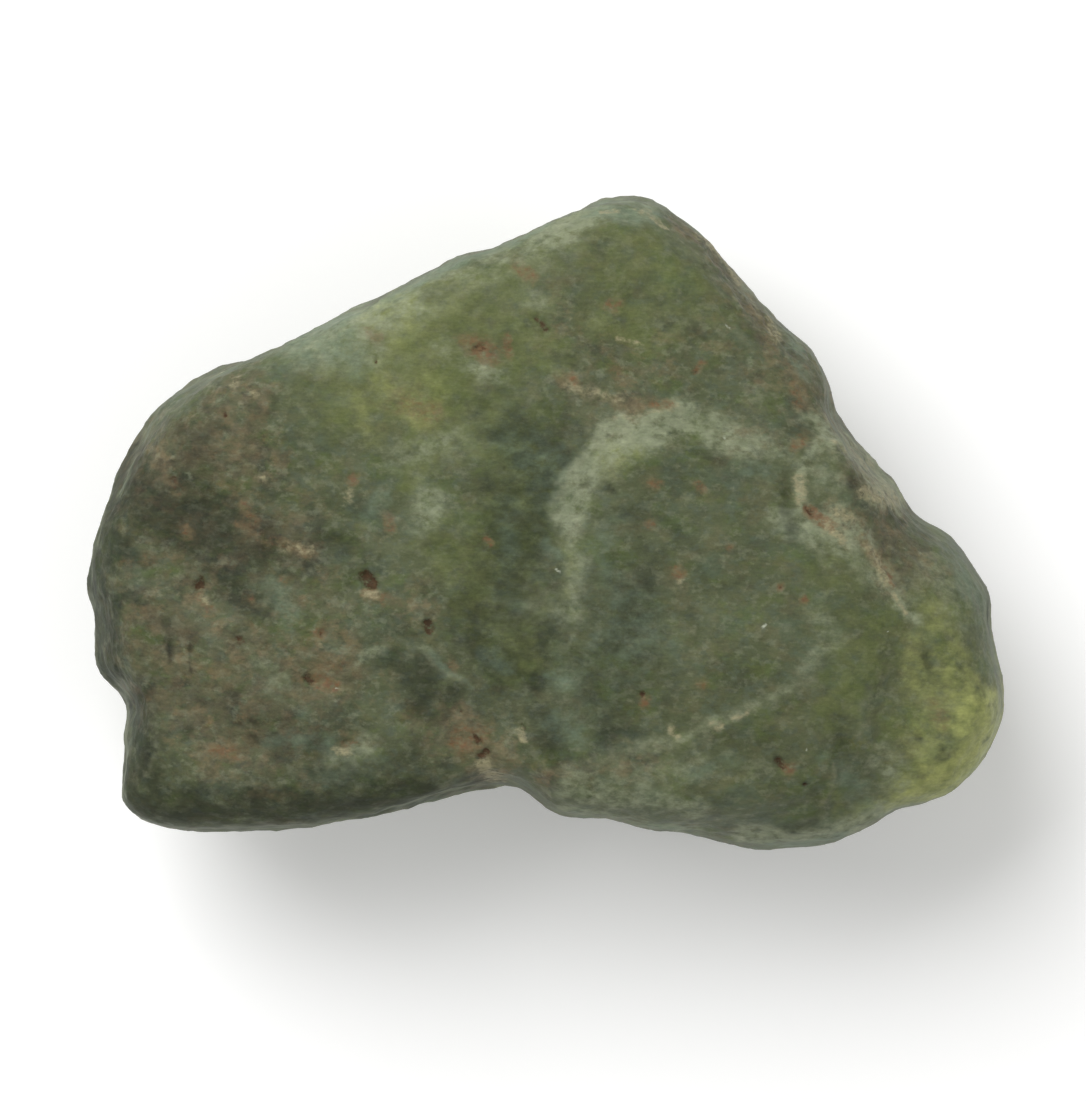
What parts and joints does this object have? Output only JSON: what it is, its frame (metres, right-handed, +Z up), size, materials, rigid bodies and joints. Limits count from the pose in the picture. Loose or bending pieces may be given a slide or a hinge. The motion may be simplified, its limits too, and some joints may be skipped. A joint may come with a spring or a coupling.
{
  "type": "rough tsavorite garnet",
  "caption": "Rough, water-worn green garnet with a frosted, pitted skin, a raised shield-shaped face and a broad flat it rests on.",
  "frame": {"origin": "on the surface the stone rests on, below the middle of its outline", "axes": "+X along the stone's length, towards the clear round lobe; +Z up, out of the broad face that carries the shield; +Y towards the outline's pointed apex"},
  "size_m": [0.0328, 0.0234, 0.0128],
  "materials": {
    "garnet": "frosted, water-worn, translucent only at its thin edge"
  },
  "bodies": {
    "root": {"garnet": "garnet"}
  },
  "joints": []
}
